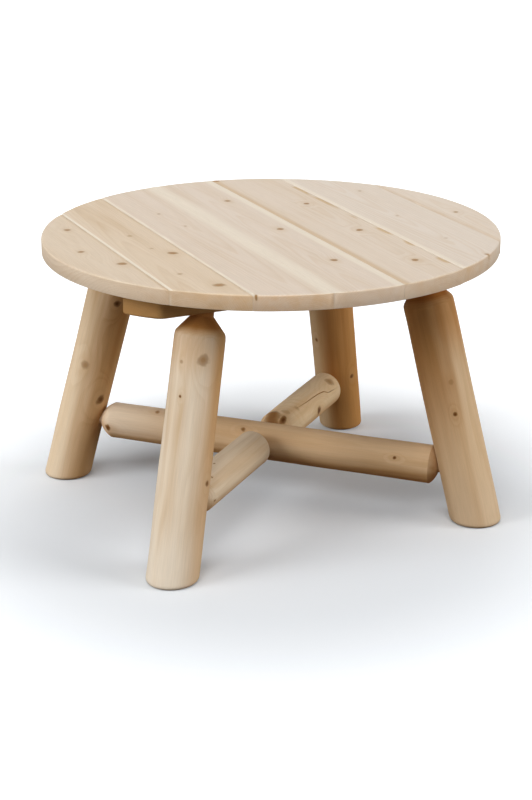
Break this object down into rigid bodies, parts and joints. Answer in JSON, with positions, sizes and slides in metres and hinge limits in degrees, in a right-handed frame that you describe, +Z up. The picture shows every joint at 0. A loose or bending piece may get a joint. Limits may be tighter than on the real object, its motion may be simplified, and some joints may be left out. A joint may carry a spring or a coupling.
{
  "type": "round log coffee table",
  "caption": "Low rustic coffee table with a round plank top on battens, leaning peeled-log legs and a cross of log stretchers.",
  "frame": {"origin": "on the floor, under the middle of the round top", "axes": "+Z up, X along the battens, Y along the boards of the top"},
  "size_m": [0.806, 0.806, 0.508],
  "materials": {
    "top_boards": "planed pale knotty softwood boards, clear matt finish",
    "battens": "sawn softwood, eased edges, clear matt finish",
    "peeled_logs": "peeled and smoothed softwood logs, clear matt finish",
    "screws": "yellow zinc-plated steel"
  },
  "bodies": {
    "root": {"batten_back": "battens", "batten_front": "battens", "board_1": "top_boards", "board_2": "top_boards", "board_3": "top_boards", "board_4": "top_boards", "board_5": "top_boards", "board_6": "top_boards", "board_7": "top_boards", "leg_back": "peeled_logs", "leg_front": "peeled_logs", "leg_left": "peeled_logs", "leg_right": "peeled_logs", "screw_back_1": "screws", "screw_back_2": "screws", "screw_back_3": "screws", "screw_back_4": "screws", "screw_back_5": "screws", "screw_back_6": "screws", "screw_back_7": "screws", "screw_back_8": "screws", "screw_front_1": "screws", "screw_front_2": "screws", "screw_front_3": "screws", "screw_front_4": "screws", "screw_front_5": "screws", "screw_front_6": "screws", "screw_front_7": "screws", "screw_front_8": "screws", "stretcher_back": "peeled_logs", "stretcher_front": "peeled_logs", "stretcher_long": "peeled_logs"}
  },
  "joints": []
}
